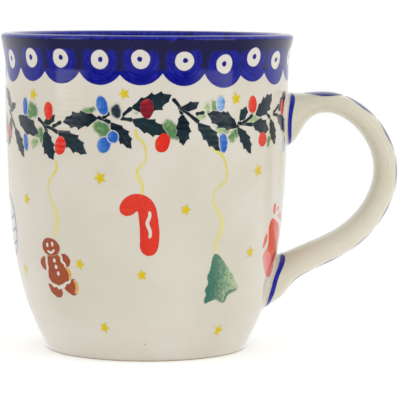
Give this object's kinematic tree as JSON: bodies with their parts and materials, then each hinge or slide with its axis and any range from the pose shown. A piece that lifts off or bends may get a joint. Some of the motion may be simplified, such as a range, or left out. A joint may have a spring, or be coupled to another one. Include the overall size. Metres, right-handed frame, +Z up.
{
  "type": "mug",
  "caption": "Straight-sided stoneware mug with a flared rim, rounded base, turned foot ring and a strap handle, hand-painted under a clear glossy glaze.",
  "frame": {"origin": "on the surface the mug stands on, under the middle of its bounding box; the cup's own axis is the vertical line at X = -0.01586, Y = 0", "axes": "+Z up along the cup's axis, +X from the cup's axis to the handle, +Y to the left of someone who looks from the cup along the handle"},
  "size_m": [0.1196, 0.0878, 0.095],
  "materials": {
    "cup_glaze": "gloss",
    "handle_glaze": "gloss",
    "seam_glaze": "gloss",
    "cobalt_paint": "gloss",
    "leaf_paint": "gloss",
    "berry_paint": "gloss",
    "gold_paint": "gloss",
    "brown_paint": "gloss"
  },
  "bodies": {
    "root": {"cup": "cup_glaze", "handle": "handle_glaze", "upper_slip_seam": "seam_glaze", "lower_slip_seam": "seam_glaze"}
  },
  "joints": []
}
